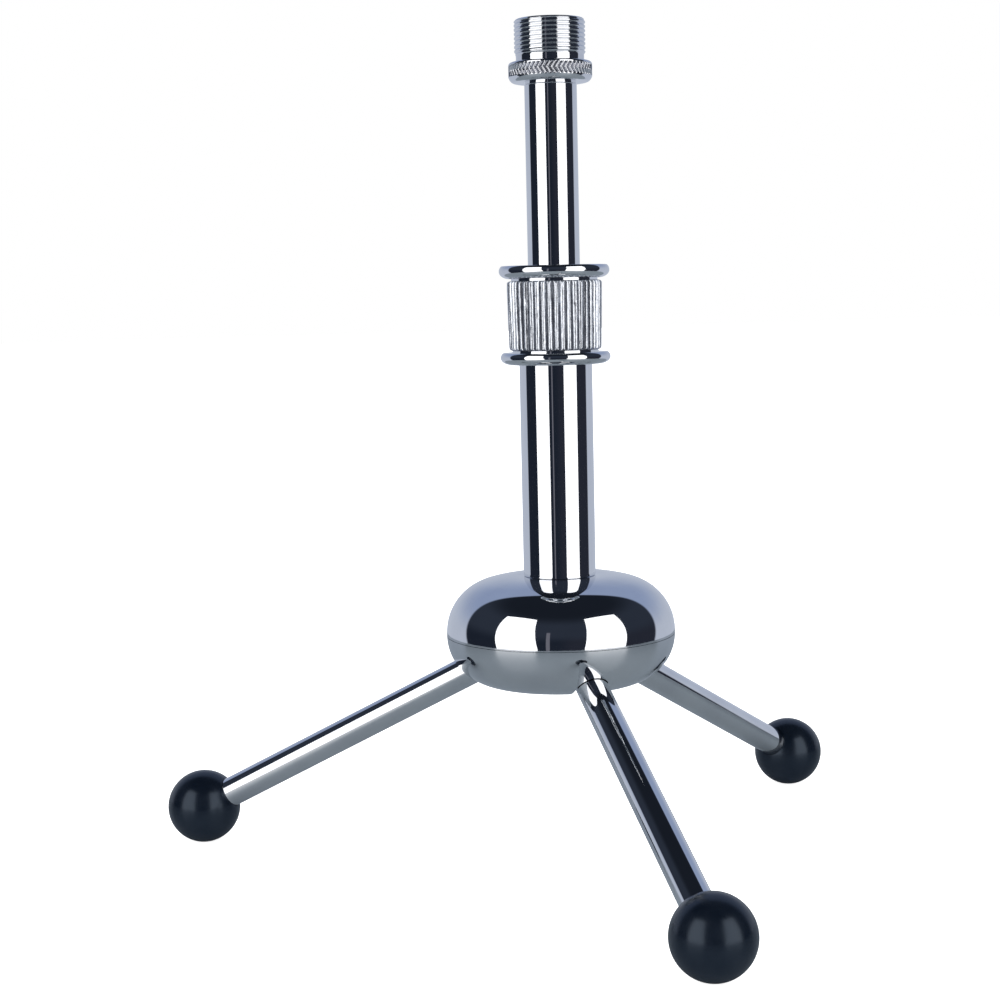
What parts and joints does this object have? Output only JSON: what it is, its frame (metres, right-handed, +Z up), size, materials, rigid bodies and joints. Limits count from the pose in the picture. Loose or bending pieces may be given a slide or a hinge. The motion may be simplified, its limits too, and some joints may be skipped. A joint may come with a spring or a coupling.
{
  "type": "desktop microphone stand",
  "caption": "Chrome tabletop microphone stand: rounded two-shell base on folding rod legs with rubber balls, telescoping column, knurled twist clutch and threaded top.",
  "frame": {"origin": "on the column's axis, at the height of the table that the stand's feet rest on", "axes": "+Z up along the column, towards the microphone thread; leg 1 points along -Y"},
  "size_m": [0.1714, 0.1507, 0.1907],
  "materials": {
    "chrome_base": "mirror-polished chrome plate",
    "chrome_tube": "mirror-polished chrome plate on tube",
    "chrome_clutch": "bright chrome plate over turned and knurled metal",
    "chrome_thread": "bright plating over a cut thread and knurl",
    "chrome_leg": "polished chrome plate on rod",
    "steel": "zinc-plated steel",
    "zinc": "as-cast zinc alloy",
    "brass": "turned",
    "nylon": "natural nylon",
    "rubber": "satin moulded rubber"
  },
  "bodies": {
    "base": {"lower_shell": "chrome_base", "upper_shell": "chrome_base", "hub": "zinc", "clamp_bolt": "steel", "bolt_washer": "steel", "lock_washer": "steel", "tube_plug": "steel", "outer_tube": "chrome_tube", "clutch_ferrule": "chrome_clutch", "clutch_collet": "nylon", "pivot_pin_1": "steel", "pivot_pin_2": "steel", "pivot_pin_3": "steel", "friction_washers_1": "nylon", "friction_washers_2": "nylon", "friction_washers_3": "nylon"},
    "leg_1": {"leg_1": "chrome_leg", "foot_1": "rubber"},
    "leg_2": {"leg_2": "chrome_leg", "foot_2": "rubber"},
    "leg_3": {"leg_3": "chrome_leg", "foot_3": "rubber"},
    "clutch_lifter": {"thrust_ring": "brass"},
    "clutch_collar": {"clutch_collar": "chrome_clutch"},
    "slider": {"guide_bush": "nylon"},
    "mast": {"inner_tube": "chrome_tube", "top_stud": "steel"},
    "adapter_lifter": {"adapter_washer": "chrome_tube"},
    "adapter": {"thread_adapter": "chrome_thread"}
  },
  "joints": [
    {"name": "leg_1_fold", "type": "hinge", "parent": "base", "child": "leg_1", "pos_m": [0, -0.012, 0.04858], "axis": [1, 0, 0], "range_deg": [0, 62.5]},
    {"name": "leg_2_fold", "type": "hinge", "parent": "base", "child": "leg_2", "pos_m": [0.01039, 0.006, 0.04858], "axis": [-0.5, 0.866, 0], "range_deg": [0, 62.5]},
    {"name": "leg_3_fold", "type": "hinge", "parent": "base", "child": "leg_3", "pos_m": [-0.01039, 0.006, 0.04858], "axis": [-0.5, -0.866, 0], "range_deg": [0, 62.5]},
    {"name": "clutch_lift", "type": "slide", "parent": "base", "child": "clutch_lifter", "axis": [0, 0, 1], "range_m": [0, 0.0005]},
    {"name": "clutch_turn", "type": "hinge", "parent": "clutch_lifter", "child": "clutch_collar", "pos_m": [0, 0, 0.125], "axis": [0, 0, 1], "range_deg": [0, 180]},
    {"name": "mast_slide", "type": "slide", "parent": "base", "child": "slider", "axis": [0, 0, 1], "range_m": [-0.038, 0.0078]},
    {"name": "mast_turn", "type": "hinge", "parent": "slider", "child": "mast", "pos_m": [0, 0, 0.112], "axis": [0, 0, 1], "continuous": true},
    {"name": "adapter_lift", "type": "slide", "parent": "mast", "child": "adapter_lifter", "axis": [0, 0, 1], "range_m": [0, 0.01111]},
    {"name": "adapter_turn", "type": "hinge", "parent": "adapter_lifter", "child": "adapter", "pos_m": [0, 0, 0.18], "axis": [0, 0, 1], "range_deg": [0, 2520]}
  ],
  "couplings": [
    {"joint": "clutch_turn", "follows": "clutch_lift", "rad_per_m": 6283.2},
    {"joint": "adapter_turn", "follows": "adapter_lift", "rad_per_m": 3957.9}
  ]
}
